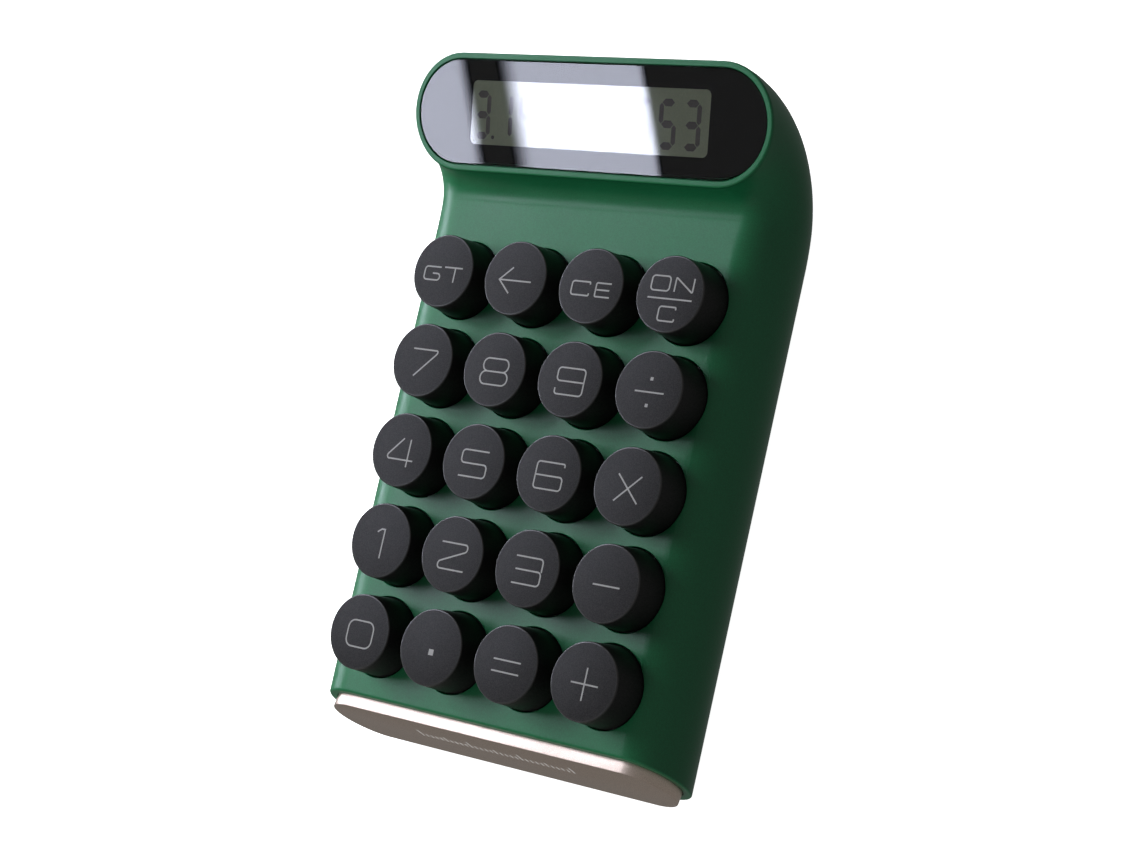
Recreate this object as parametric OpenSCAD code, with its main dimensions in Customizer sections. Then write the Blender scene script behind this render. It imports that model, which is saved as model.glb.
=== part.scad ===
// Desk calculator: a bent stadium tube with twenty round keys on its flat deck,
// a display in the raised rear end and a metal plate on the cut front end.
// Z = 0 is the plane of the feet, and the keys run back along +Y.

/* [Keyboard] */
// Distance between neighbouring key centres
key_pitch = 19.05; // [18.6:0.05:23]
// Diameter of a key cap's flat top
cap_d = 15.5; // [12.8:0.1:16]
// Height of a key cap above the deck
cap_h = 7.85; // [6.5:0.05:10]
// How far a key goes down
key_travel = 3.0; // [2:0.1:3.2]

/* [Body] */
// Deck width outside the key grid, on each side
side_margin = 6.7; // [5.5:0.1:12]
// Deck length in front of the key grid
front_margin = 3.05; // [2.6:0.05:8]
// Deck length behind the key grid, up to the bend
rear_margin = 7.4; // [6:0.1:14]
// Thickness of the flat body
body_t = 19.7; // [19.2:0.1:26]
// Wall of the shell
wall = 2.0; // [1.8:0.1:2.2]
// How far the cut front end leans back
front_tilt = 17; // [10:1:20]
// How far the feet stand below the body
foot_h = 1.2; // [0.8:0.1:2.5]

/* [Head] */
// Height of the display face, from its lower to its upper edge
head_t = 24.6; // [23:0.1:32]
// How far the display leans towards the user
display_tilt = 15; // [8:1:22]
// Radius of the bend between the deck and the display
bend_r = 5.1; // [4:0.1:9]
// Green rim above and below the display lens
rim_w = 1.3; // [1.1:0.1:1.5]
// Green rim at the two ends of the display lens
rim_end_w = 1.4; // [1.2:0.05:1.6]
// Thickness of the display lens
lens_t = 1.2; // [0.8:0.1:1.6]
// Width of the display window
window_w = 59.6; // [40:0.1:62]
// Height of the display window
window_h = 13.2; // [8:0.1:13.4]

/* [Front plate] */
// Body edge left around the front plate
plate_ring = 1.9; // [1.7:0.1:2.6]
// How far the front plate stands out
plate_out = 2.4; // [1:0.1:4]

/* [Hidden] */
COLS = 4;
ROWS = 5;
KEYS = ["gt", "back", "ce", "on", "7", "8", "9", "divide", "4", "5", "6", "multiply",
        "1", "2", "3", "minus", "0", "point", "equals", "plus"];

$fn = 48;
GAP = 0.1;              // clearance around a piece that drops into a seat
CUT = 0.02;             // overshoot of a cutting tool past a face
END_STEPS = 14;         // facets on each round side of the shell
BEND_STEPS = 22;        // sections along the bend

// body levels and outline
back_z = foot_h;
deck_z = back_z + body_t;
mid_z = back_z + body_t / 2;
body_w = COLS * key_pitch + 2 * side_margin;
grid_len = ROWS * key_pitch;
deck_len = grid_len + front_margin + rear_margin;
arc_end = [bend_r * cos(display_tilt), bend_r * (1 + sin(display_tilt))];
face_dir = [cos(display_tilt), sin(display_tilt)];
outer_lead = 5.6;       // the back starts to curve this far ahead of the bend
front_drop = body_t / 2 * tan(front_tilt);
plate_half = [body_w / 2 - plate_ring, body_t / 2 / cos(front_tilt) - plate_ring];
// extent ahead of and behind the deck, which centres the whole object on the origin
nose = front_drop + plate_out * cos(front_tilt) + plate_half[1] * sin(front_tilt);
tail = arc_end[0] + head_t * face_dir[0];
bend_y = (deck_len + nose - tail) / 2;
grid_y = bend_y - rear_margin - grid_len / 2;
front_y = bend_y - deck_len - front_drop;
face_low = [bend_y + arc_end[0], deck_z + arc_end[1]];
face_top = face_low + head_t * face_dir;
face_mid = face_low + head_t / 2 * face_dir;
outer_start = bend_y - outer_lead;

// display pieces, measured down from the display face
lens_half = [body_w / 2 - rim_end_w - GAP, head_t / 2 - rim_w - GAP];
mask_t = 0.1;
frame_t = 3.0;
frame_half = [body_w / 2 - wall - 1.3, head_t / 2 - wall - 1.8];
panel = [64, 15, 2.0];
flex_w = 20;
flex_t = 0.25;

// keyboard stack, measured down from the deck
skirt = 0.6;            // cap length hidden below the deck face
cap_r = cap_d / 2;
cap_base_r = cap_r + 0.43;
hole_r = cap_base_r + 0.38;
cap_wall = 1.3;
cap_top_t = 1.6;
boss_low = 0.95;
housing_top = deck_z - 4.2;
housing_h = 8.0;
housing_z = housing_top - housing_h;
board_t = 1.2;
board_z = housing_z - board_t;
plate_t = 1.2;
plate_top = housing_top - 2.5;
shaft_r = 3.3;
shaft_fit = 0.08;
post_r = 2.0;
chamber_r = 5.0;
chamber_roof = housing_top - 1.0;
chamber_floor = housing_z + 0.8;
flange_top = chamber_roof - 0.05;
flange_t = 1.0;
switch_w = 13.8;
switch_lip = 14.8;
pin_y = 3.0;            // solder pins, behind each key's centre
pin_r = 0.6;
board_w = COLS * key_pitch - 0.6;
board_len = grid_len + 1.5;

// bosses, covers and screws
boss_x = key_pitch;
boss_y = 1.5 * key_pitch;
boss_r = 2.6;
neck_r = 1.9;
screw_r = 1.0;
screw_head_r = 1.9;
screw_head_t = 0.95;
cover_half = [31, 38.5];
cover_ledge = 2.2;
cover_skin = 1.35;
cover_r = 4;
cell_r = 10;
cell_t = 3.2;
door_half = [13.5, 19];
door_t = 1.2;
door_shift = 3;
door_screw_y = 17.5;
foot_r = 5;
foot_seat = 0.8;
foot_x = body_w / 2 - body_t / 2 - 6;
foot_y = [grid_y - grid_len / 2 + 2.2, grid_y + grid_len / 2 - 2.2];

function key_x(i) = (i % COLS - (COLS - 1) / 2) * key_pitch;
function key_y(i) = grid_y + ((ROWS - 1) / 2 - floor(i / COLS)) * key_pitch;

// One station of the shell is [deck-side point, back-side point, radius of the round sides],
// with its points as [y, z].
function tube_station(y, lean) = [
    [y + body_t / 2 * lean, deck_z], [y - body_t / 2 * lean, back_z], body_t / 2];
function bend_inner(t) =
    let (lead = 0.15, a = (t - lead) / (1 - lead) * (90 + display_tilt))
    t < lead
        ? [outer_start + outer_lead * t / lead, deck_z]
        : [bend_y + bend_r * sin(a), deck_z + bend_r * (1 - cos(a))];
function bend_outer(t) = [
    outer_start + (face_top[0] - outer_start) * sin(90 * t),
    back_z + (face_top[1] - back_z) * (1 - cos(90 * t))];
function bend_station(t) =
    let (a = bend_inner(t), b = bend_outer(t))
    [a, b, norm(a - b) / 2];
function inset(s, d) =
    let (u = (s[0] - s[1]) / norm(s[0] - s[1]), lean = body_t / 2 / s[2])
    [s[0] - u * d, s[1] + u * d, s[2] - d];
function moved(s, v) = [s[0] + v, s[1] + v, s[2]];
function ring(s, half_w) = [
    for (side = [1, -1], k = [0:END_STEPS])
        let (a = side > 0 ? 90 - 180 * k / END_STEPS : -90 - 180 * k / END_STEPS,
             p = (s[0] + s[1]) / 2 + (s[0] - s[1]) / 2 * sin(a))
        [side * (half_w - s[2]) + s[2] * cos(a), p[0], p[1]]];

shell_stations = concat(
    [tube_station(front_y, tan(front_tilt))],
    [for (k = [0:BEND_STEPS]) bend_station(k / BEND_STEPS)]);
cavity_stations = concat(
    [moved(inset(shell_stations[0], wall), [-4, 0])],
    [for (k = [1:BEND_STEPS + 1]) inset(shell_stations[k], wall)],
    [moved(inset(shell_stations[BEND_STEPS + 1], wall), [-face_dir[1], face_dir[0]])]);

module sweep(stations, half_w) {
    n = 2 * (END_STEPS + 1);
    last = len(stations) - 1;
    points = [for (s = stations) each ring(s, half_w)];
    sides = [
        for (k = [0:last - 1], i = [0:n - 1])
            let (j = (i + 1) % n, a = k * n, b = a + n)
            each [[a + i, b + i, b + j], [a + i, b + j, a + j]]];
    polyhedron(points, concat([[for (i = [0:n - 1]) i]], sides, [[for (i = [n - 1:-1:0]) last * n + i]]));
}

// A plate with full-round ends: half is [half width, half height], with its top at z = 0.
module pill(half, thick) {
    translate([0, 0, -thick])
        linear_extrude(thick)
            union() {
                square([2 * (half[0] - half[1]), 2 * half[1]], center = true);
                for (s = [-1, 1])
                    translate([s * (half[0] - half[1]), 0])
                        circle(half[1]);
            }
}

module rounded_plate(half, thick, r) {
    linear_extrude(thick)
        union() {
            square([2 * half[0], 2 * (half[1] - r)], center = true);
            square([2 * (half[0] - r), 2 * half[1]], center = true);
            for (sx = [-1, 1], sy = [-1, 1])
                translate([sx * (half[0] - r), sy * (half[1] - r)])
                    circle(r);
        }
}

module on_display() {
    translate([0, face_mid[0], face_mid[1]])
        rotate([display_tilt, 0, 0])
            children();
}

module on_front() {
    translate([0, front_y, mid_z])
        rotate([90 - front_tilt, 0, 0])
            children();
}

module at_keys() {
    for (i = [0:len(KEYS) - 1])
        translate([key_x(i), key_y(i), 0])
            children();
}

module at_bosses() {
    for (sx = [-1, 1], sy = [-1, 1])
        translate([sx * boss_x, grid_y + sy * boss_y, 0])
            children();
}

module at_feet() {
    for (sx = [-1, 1], y = foot_y)
        translate([sx * foot_x, y, 0])
            children();
}

module at_pins() {
    at_keys()
        for (x = [-3.8, 3.2])
            translate([x, pin_y, 0])
                children();
}

// ---- housing ----

module main_shell() color([0.08, 0.25, 0.17]) {
    difference() {
        sweep(shell_stations, body_w / 2);
        sweep(cavity_stations, body_w / 2 - wall);
        at_keys()
            translate([0, 0, deck_z - wall - 1])
                cylinder(h = wall + 2, r = hole_r);
        on_display()
            translate([0, 0, 1])
                pill(lens_half + [GAP, GAP], 1 + lens_t + mask_t + CUT);
        on_front()
            translate([0, 0, 1])
                pill(plate_half + [GAP, GAP], 2);
        translate([0, grid_y, back_z - 1])
            rounded_plate(cover_half + [GAP, GAP], 1 + cover_skin + 0.05, cover_r);
        translate([0, grid_y, back_z - 1])
            rounded_plate(cover_half - [cover_ledge, cover_ledge], 1 + wall + 1, cover_r - 1);
        at_feet()
            translate([0, 0, back_z - 1])
                cylinder(h = 1 + foot_seat, r = foot_r + 0.05);
    }
    at_bosses()
        difference() {
            union() {
                translate([0, 0, housing_z + 0.05])
                    cylinder(h = deck_z - wall / 2 - housing_z, r = boss_r);
                translate([0, 0, back_z + wall])
                    cylinder(h = housing_z - back_z - wall + 1, r = neck_r);
            }
            translate([0, 0, back_z + wall - 1])
                cylinder(h = housing_z - back_z, r = screw_r + 0.05);
        }
}

module back_cover() color([0.06, 0.2, 0.14]) {
    pocket = [door_half[0] + GAP, door_half[1] + GAP];
    difference() {
        union() {
            translate([0, grid_y, back_z])
                rounded_plate(cover_half, cover_skin, cover_r);
            translate([0, grid_y, back_z])
                rounded_plate(cover_half - [cover_ledge + GAP, cover_ledge + GAP], wall - 0.05, cover_r - 1);
            translate([0, grid_y + door_screw_y, back_z + 0.2])
                cylinder(h = board_z - back_z - 0.6, r = 2.6);
        }
        translate([0, grid_y + door_shift, back_z - 1])
            rounded_plate(pocket, 1 + door_t, 2);
        translate([0, grid_y, back_z])
            cylinder(h = 10, r = cell_r + 0.4);
        translate([0, grid_y + door_screw_y, back_z])
            cylinder(h = 4.8, r = screw_r + 0.05);
        at_bosses() {
            translate([0, 0, back_z - 1])
                cylinder(h = 1 + screw_head_t + 0.05, r = screw_head_r + 0.1);
            translate([0, 0, back_z - 1])
                cylinder(h = 5, r = screw_r + 0.1);
        }
    }
}

module battery_door() color([0.06, 0.2, 0.14]) {
    difference() {
        translate([0, grid_y + door_shift, back_z])
            rounded_plate(door_half, door_t - 0.05, 2 - GAP);
        translate([0, grid_y + door_screw_y, back_z - 1])
            cylinder(h = 1 + 0.55, r = screw_head_r + 0.1);
        translate([0, grid_y + door_screw_y, back_z - 1])
            cylinder(h = 4, r = screw_r + 0.1);
    }
}

module end_plate() color([0.45, 0.41, 0.37]) {
    on_front()
        translate([0, 0, plate_out])
            pill(plate_half, plate_out + 0.95);
}

module end_tray() color([0.05, 0.05, 0.05]) {
    tube = wall + 0.15;
    intersection() {
        translate([0, front_y + 15, mid_z])
            rotate([90, 0, 0])
                translate([0, 0, 30])
                    pill([body_w / 2 - tube, body_t / 2 - tube], 60);
        on_front()
            translate([-body_w / 2, -body_t, -3.2])
                cube([body_w, 2 * body_t, 2.2]);
    }
}

module feet() color([0.08, 0.08, 0.08]) {
    at_feet()
        cylinder(h = foot_h + foot_seat - 0.02, r = foot_r);
}

module machine_screw(z, head_t, length) {
    translate([0, 0, z])
        difference() {
            union() {
                cylinder(h = head_t, r = screw_head_r);
                cylinder(h = head_t + length, r = screw_r);
            }
            for (a = [0, 90])
                rotate([0, 0, a])
                    translate([-1.1, -0.22, -CUT])
                        cube([2.2, 0.44, head_t * 0.6]);
        }
}

module cover_screws() color([0.55, 0.55, 0.56]) {
    at_bosses()
        machine_screw(back_z + 0.05, screw_head_t - 0.05, 5.5);
}

module door_screw() color([0.55, 0.55, 0.56]) {
    translate([0, grid_y + door_screw_y, 0])
        machine_screw(back_z + 0.02, 0.5, 3.8);
}

// ---- display ----

module display_lens() color([0.1, 0.1, 0.1, 0.4]) {
    on_display()
        pill(lens_half, lens_t);
}

module display_mask() color([0.04, 0.04, 0.04]) {
    on_display()
        translate([0, 0, -lens_t])
            difference() {
                pill(lens_half - [0.05, 0.05], mask_t);
                translate([0, 0, -1])
                    rounded_plate([window_w, window_h] / 2, 2, 1.2);
            }
}

module lcd_frame() color([0.1, 0.1, 0.1]) {
    on_display()
        translate([0, 0, -lens_t - mask_t])
            difference() {
                pill(frame_half, frame_t);
                translate([0, 0, -frame_t - 1])
                    rounded_plate([panel[0], panel[1]] / 2 + [GAP, GAP], frame_t + 2, 0.8);
            }
}

module lcd_panel() color([0.3, 0.32, 0.28]) {
    on_display()
        translate([0, 0, -lens_t - mask_t - panel[2]])
            rounded_plate([panel[0], panel[1]] / 2, panel[2], 0.7);
}

// The cable leaves the board's rear edge, follows the bend and ends under the panel.
module lcd_flex() color([0.6, 0.4, 0.12]) {
    board_end = grid_y + board_len / 2;
    panel_back = face_mid - (lens_t + mask_t + panel[2]) * [-face_dir[1], face_dir[0]];
    down = [face_dir[1], -face_dir[0]];
    corner = panel_back + 9 * down;
    low = [key_y(0) + switch_w / 2 + 0.3, housing_z];
    turn = [board_end + 6, housing_z + 1];
    path = [low, [board_end, housing_z], turn, corner, panel_back];
    side = [[0, 1], [-0.1, 1], [-0.4, 0.92], [-0.9, 0.5], -face_dir];
    rotate([90, 0, 90])
        translate([0, 0, -flex_w / 2])
            linear_extrude(flex_w)
                polygon(concat(path, [for (k = [len(path) - 1:-1:0]) path[k] + flex_t * side[k]]));
}

// ---- keyboard and electronics ----

module main_board() color([0.05, 0.22, 0.1]) {
    difference() {
        translate([-board_w / 2, grid_y - board_len / 2, board_z])
            cube([board_w, board_len, board_t]);
        at_bosses()
            translate([0, 0, board_z - 1])
                cylinder(h = board_t + 2, r = neck_r + 0.15);
        at_pins()
            translate([0, 0, board_z - 1])
                cylinder(h = board_t + 2, r = 0.75);
    }
}

module switch_plate() color([0.6, 0.6, 0.62]) {
    difference() {
        translate([-board_w / 2, grid_y - board_len / 2, plate_top - plate_t])
            cube([board_w, board_len, plate_t]);
        at_keys()
            translate([-switch_w / 2 - GAP, -switch_w / 2 - GAP, plate_top - plate_t - 1])
                cube([switch_w + 2 * GAP, switch_w + 2 * GAP, plate_t + 2]);
        at_bosses()
            translate([0, 0, plate_top - plate_t - 1])
                cylinder(h = plate_t + 2, r = boss_r + 0.15);
    }
}

module switch_housings() color([0.12, 0.12, 0.13]) {
    at_keys()
        difference() {
            union() {
                translate([-switch_w / 2, -switch_w / 2, housing_z])
                    cube([switch_w, switch_w, plate_top - housing_z + CUT]);
                translate([-switch_lip / 2, -switch_lip / 2, plate_top])
                    cube([switch_lip, switch_lip, 1]);
                translate([-switch_w / 2 + 0.4, -switch_w / 2 + 0.4, plate_top])
                    cube([switch_w - 0.8, switch_w - 0.8, housing_top - plate_top]);
            }
            translate([0, 0, chamber_floor])
                cylinder(h = chamber_roof - chamber_floor, r = chamber_r);
            translate([0, 0, chamber_floor + 1])
                cylinder(h = housing_h, r = shaft_r + shaft_fit);
        }
    at_pins()
        translate([0, 0, board_z - 1.4])
            cylinder(h = board_t + 1.4 + CUT, r = pin_r);
}

module switch_springs() color([0.7, 0.7, 0.72]) {
    coil_r = 2.5;
    wire_r = 0.2;
    coils = 5;
    low = chamber_floor + wire_r;
    high = flange_top - flange_t - wire_r - 0.02;
    at_keys()
        for (k = [0:coils - 1])
            translate([0, 0, low + (high - low) * k / (coils - 1)])
                rotate_extrude()
                    translate([coil_r, 0])
                        circle(wire_r, $fn = 16);
}

module controller_chip() color([0.07, 0.07, 0.08]) {
    translate([-5, grid_y + boss_y - 5, board_z - 1.4])
        cube([10, 10, 1.4]);
}

module coin_cell() color([0.7, 0.7, 0.7]) {
    translate([0, grid_y, back_z + door_t + 0.05]) {
        cylinder(h = cell_t, r = cell_r);
        translate([0, 0, cell_t])
            cylinder(h = 0.25, r = cell_r - 1.2);
    }
}

module cell_contacts() color([0.75, 0.65, 0.35]) {
    low = back_z + door_t + 0.05 + cell_t + 0.25;
    front = -6;
    length = pin_y - pin_r - 0.4 - front;
    for (s = [-1, 1])
        translate([s * 4 - 1.5, grid_y + front, low])
            cube([3, length, board_z - low]);
}

module key_cap(i) color([0.06, 0.06, 0.065]) {
    edge = 0.25;
    top = cap_h;
    under = cap_h - cap_top_t;
    translate([key_x(i), key_y(i), deck_z])
        rotate_extrude()
            polygon([
                [cap_base_r - cap_wall, -skirt], [cap_base_r, -skirt], [cap_base_r, 0],
                [cap_r, top - edge], [cap_r - edge, top], [0, top], [0, under - 0.5],
                [post_r + 0.02, under - 0.5], [post_r + 0.02, boss_low], [post_r + 0.8, boss_low],
                [post_r + 0.8, under], [cap_r - cap_wall, under]]);
}

module key_stem(i) color([0.5, 0.25, 0.08]) {
    post_top = cap_h - cap_top_t - 0.55;
    shaft_top = deck_z + boss_low - GAP / 2;
    translate([key_x(i), key_y(i), 0]) {
        translate([0, 0, shaft_top - CUT])
            cylinder(h = deck_z + post_top - shaft_top + CUT, r = post_r);
        translate([0, 0, flange_top - CUT])
            cylinder(h = shaft_top - flange_top + CUT, r = shaft_r);
        translate([0, 0, flange_top - flange_t])
            cylinder(h = flange_t, r = chamber_r - 0.5);
        translate([0, 0, flange_top - flange_t - 2])
            cylinder(h = 2 + CUT, r = 1.2);
    }
}

main_shell();
back_cover();
battery_door();
end_plate();
end_tray();
display_lens();
display_mask();
lcd_frame();
lcd_panel();
lcd_flex();
main_board();
switch_plate();
switch_housings();
switch_springs();
controller_chip();
coin_cell();
cell_contacts();
feet();
cover_screws();
door_screw();
for (i = [0:len(KEYS) - 1]) {
    key_cap(i);
    key_stem(i);
}
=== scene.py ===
import math

import bmesh
import bpy
from mathutils import Matrix, Vector


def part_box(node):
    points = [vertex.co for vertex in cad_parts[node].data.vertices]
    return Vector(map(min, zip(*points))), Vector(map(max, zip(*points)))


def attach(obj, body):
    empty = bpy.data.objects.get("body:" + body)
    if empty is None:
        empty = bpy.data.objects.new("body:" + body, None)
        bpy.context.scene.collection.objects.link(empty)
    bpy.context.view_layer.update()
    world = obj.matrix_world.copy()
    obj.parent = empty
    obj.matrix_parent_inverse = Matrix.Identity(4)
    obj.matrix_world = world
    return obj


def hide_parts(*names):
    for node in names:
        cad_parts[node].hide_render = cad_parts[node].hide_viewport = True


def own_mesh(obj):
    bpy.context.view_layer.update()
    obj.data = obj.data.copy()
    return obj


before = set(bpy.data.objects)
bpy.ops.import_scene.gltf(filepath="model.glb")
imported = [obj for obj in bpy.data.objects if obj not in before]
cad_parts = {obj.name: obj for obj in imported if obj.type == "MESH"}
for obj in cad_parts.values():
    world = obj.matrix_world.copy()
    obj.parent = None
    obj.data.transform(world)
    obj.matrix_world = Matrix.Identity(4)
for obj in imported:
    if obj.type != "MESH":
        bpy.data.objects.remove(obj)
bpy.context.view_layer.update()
MM = 0.001


# ---- Main shell ----
# One tube of green plastic with a stadium section: it lies flat under the keys, then bends up
# and thickens to the tilted display. Both ends are cut open and rounded along their edges, and
# the deck has a round hole for every key.
KEYS = ["gt", "back", "ce", "on", "7", "8", "9", "divide", "4", "5", "6", "multiply",
        "1", "2", "3", "minus", "0", "point", "equals", "plus"]
KEY_ROWS = 5
KEY_PITCH = 19.05 * MM
SIDE_STEPS = 24
BEND_STEPS = 44
TUBE_STEPS = 6
EDGE_STEPS = 5
WALL = 2.0 * MM
CUT_EDGE = 0.45 * MM
CUT_LIP = 0.12 * MM
BEND_LEAD = 0.15
BEND_RADIUS = 5.1 * MM
OUTER_LEAD = 5.6 * MM
HEAD_HEIGHT = 24.6 * MM
DISPLAY_TILT = math.radians(15)
FRONT_TILT = math.radians(17)
REAR_MARGIN = 7.4 * MM
FRONT_MARGIN = 3.05 * MM
GRID_LENGTH = KEY_ROWS * KEY_PITCH
LENS_RIM = 1.3 * MM
LENS_SEAT = 1.32 * MM
PLATE_RIM = 1.8 * MM
PLATE_SEAT = 1.0 * MM
CAP_SKIRT = 0.6 * MM
HOLE_GAP = 0.30 * MM
HOLE_EDGE = 0.18 * MM
HOLE_DEPTH = 3.0 * MM

shell_low, shell_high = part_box("main_shell")
half_width = (shell_high.x - shell_low.x) / 2
back_z = shell_low.z
deck_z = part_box("cap_7")[0].z + CAP_SKIRT
body_thick = deck_z - back_z
key_places = {}
for key in KEYS:
    cap_low, cap_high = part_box("cap_" + key)
    key_places[key] = Vector(((cap_low.x + cap_high.x) / 2, (cap_low.y + cap_high.y) / 2, deck_z))
cap_base_radius = (cap_high.x - cap_low.x) / 2
grid_y = (key_places["gt"].y + key_places["0"].y) / 2
bend_y = grid_y + GRID_LENGTH / 2 + REAR_MARGIN
front_drop = body_thick / 2 * math.tan(FRONT_TILT)
front_y = grid_y - GRID_LENGTH / 2 - FRONT_MARGIN - front_drop
face_along = Vector((0, math.cos(DISPLAY_TILT), math.sin(DISPLAY_TILT)))
face_out = Vector((0, -math.sin(DISPLAY_TILT), math.cos(DISPLAY_TILT)))
front_out = Vector((0, -math.cos(FRONT_TILT), math.sin(FRONT_TILT)))
face_low = Vector((0, bend_y + BEND_RADIUS * math.cos(DISPLAY_TILT),
                   deck_z + BEND_RADIUS * (1 + math.sin(DISPLAY_TILT))))
face_top = face_low + HEAD_HEIGHT * face_along
face_mid = (face_low + face_top) / 2
outer_start = bend_y - OUTER_LEAD
front_mid = Vector((0, front_y, back_z + body_thick / 2))


def tube_station(y, lean=0.0):
    """The deck point, the back point and the side radius of a section of the flat body."""
    half = body_thick / 2
    return Vector((0, y + half * lean, deck_z)), Vector((0, y - half * lean, back_z)), half


def bend_station(t):
    """The same for the bend: the deck side runs on flat, then follows a small arc, while the back
    follows a quarter ellipse. t goes from 0 at the flat body to 1 at the display."""
    if t < BEND_LEAD:
        inner = Vector((0, outer_start + OUTER_LEAD * t / BEND_LEAD, deck_z))
    else:
        a = (t - BEND_LEAD) / (1 - BEND_LEAD) * (math.pi / 2 + DISPLAY_TILT)
        inner = Vector((0, bend_y + BEND_RADIUS * math.sin(a), deck_z + BEND_RADIUS * (1 - math.cos(a))))
    swing = t * math.pi / 2
    outer = Vector((0, outer_start + (face_top.y - outer_start) * math.sin(swing),
                    back_z + (face_top.z - back_z) * (1 - math.cos(swing))))
    return inner, outer, (inner - outer).length / 2


def ring(station, inset=0.0, shift=Vector((0, 0, 0))):
    """The points of one stadium-shaped section, drawn in by inset and moved by shift."""
    inner, outer, radius = station
    across = (inner - outer).normalized()
    high, low = inner - across * inset, outer + across * inset
    points = []
    for side in (1, -1):
        for k in range(SIDE_STEPS + 1):
            a = side * math.pi / 2 - math.pi * k / SIDE_STEPS
            place = (high + low) / 2 + (high - low) / 2 * math.sin(a)
            x = side * (half_width - radius) + (radius - inset) * math.cos(a)
            points.append(Vector((x, place.y, place.z)) + shift)
    return points


def loft(rings, closed=False):
    """A skin through rings of equal length: one loop of edges is extruded from ring to ring."""
    bm = bmesh.new()
    loop = [bm.verts.new(p) for p in rings[0]]
    edges = [bm.edges.new((loop[k - 1], loop[k])) for k in range(len(loop))]
    for points in rings[1:]:
        grown = bmesh.ops.extrude_edge_only(bm, edges=edges)["geom"]
        new_verts = {g for g in grown if isinstance(g, bmesh.types.BMVert)}
        loop = [next(e.other_vert(v) for e in v.link_edges if e.other_vert(v) in new_verts)
                for v in loop]
        for vert, point in zip(loop, points):
            vert.co = point
        edges = [bm.edges.get((loop[k - 1], loop[k])) for k in range(len(loop))]
    if closed:
        bmesh.ops.remove_doubles(bm, verts=bm.verts, dist=1e-7)
    bmesh.ops.recalc_face_normals(bm, faces=bm.faces)
    return bm


def rounded_mouth(station, outward, rim, deck_way, back_way):
    """Rings over a cut end: round the outer edge, cross the rim and turn down into the seat.
    The two ways are the directions of the deck side and the back side where they meet the cut."""
    inner, outer, radius = station
    rings = []
    for k in range(EDGE_STEPS + 1):
        a = k / EDGE_STEPS * math.pi / 2
        behind = CUT_EDGE * (1 - math.sin(a))
        set_back = (inner - deck_way * behind, outer - back_way * behind, radius)
        rings.append(ring(set_back, CUT_EDGE * (1 - math.cos(a))))
    rings.append(ring(station, rim - CUT_LIP))
    rings.append(ring(station, rim, -outward * CUT_LIP))
    return rings


def spin_profile(profile, centre, steps, bm=None):
    """A turned solid: profile points are (radius, height) from axis to axis, spun about Z."""
    bm = bm or bmesh.new()
    verts = [bm.verts.new(centre + Vector((r, 0, z))) for r, z in profile]
    edges = [bm.edges.new(pair) for pair in zip(verts, verts[1:])]
    bmesh.ops.spin(bm, geom=verts + edges, cent=centre, axis=(0, 0, 1), angle=2 * math.pi,
                   steps=steps, use_merge=True)
    near = [v for v in bm.verts if (v.co.xy - centre.xy).length < 1e-7]
    bmesh.ops.remove_doubles(bm, verts=list(set(near)), dist=1e-7)
    bmesh.ops.remove_doubles(bm, verts=bm.verts, dist=1e-8)
    return bm


def arc(centre, radius, start, end, steps):
    """Points on a circle, as (first, second) coordinates, with angles in degrees."""
    angles = [math.radians(start + (end - start) * k / steps) for k in range(steps + 1)]
    return [(centre[0] + radius * math.cos(a), centre[1] + radius * math.sin(a)) for a in angles]


def as_object(name, bm, outward=True):
    """A mesh object from a bmesh, at the origin."""
    if outward:
        bmesh.ops.recalc_face_normals(bm, faces=bm.faces)
    mesh = bpy.data.meshes.new(name)
    bm.to_mesh(mesh)
    bm.free()
    obj = bpy.data.objects.new(name, mesh)
    bpy.context.scene.collection.objects.link(obj)
    return obj


def carve(piece, cutter_bm):
    """Cuts solids out of a piece and leaves the result in the piece's mesh."""
    cutter = as_object("cutter", cutter_bm)
    cut = piece.modifiers.new("cut", "BOOLEAN")
    cut.solver = "EXACT"
    cut.object = cutter
    solid = piece.evaluated_get(bpy.context.evaluated_depsgraph_get())
    mesh = bpy.data.meshes.new_from_object(solid)
    piece.modifiers.clear()
    piece.data = mesh
    bpy.data.objects.remove(cutter)


def add_part(bm, part_bm):
    """Adds one bmesh to another and frees it."""
    part = bpy.data.meshes.new("part")
    part_bm.to_mesh(part)
    part_bm.free()
    bm.from_mesh(part)
    bpy.data.meshes.remove(part)
    return bm


def finish_piece(piece, body, material, sharp=32, weighted=False):
    """Smooth shading with sharp creases, the material, and the body that the piece rides on."""
    mesh = piece.data
    mesh.shade_smooth()
    mesh.set_sharp_from_angle(angle=math.radians(sharp))
    mesh.materials.clear()
    mesh.materials.append(material)
    if weighted:
        weight = piece.modifiers.new("even_shading", "WEIGHTED_NORMAL")
        weight.keep_sharp = True
        weight.weight = 80
    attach(piece, body)
    return piece


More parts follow.
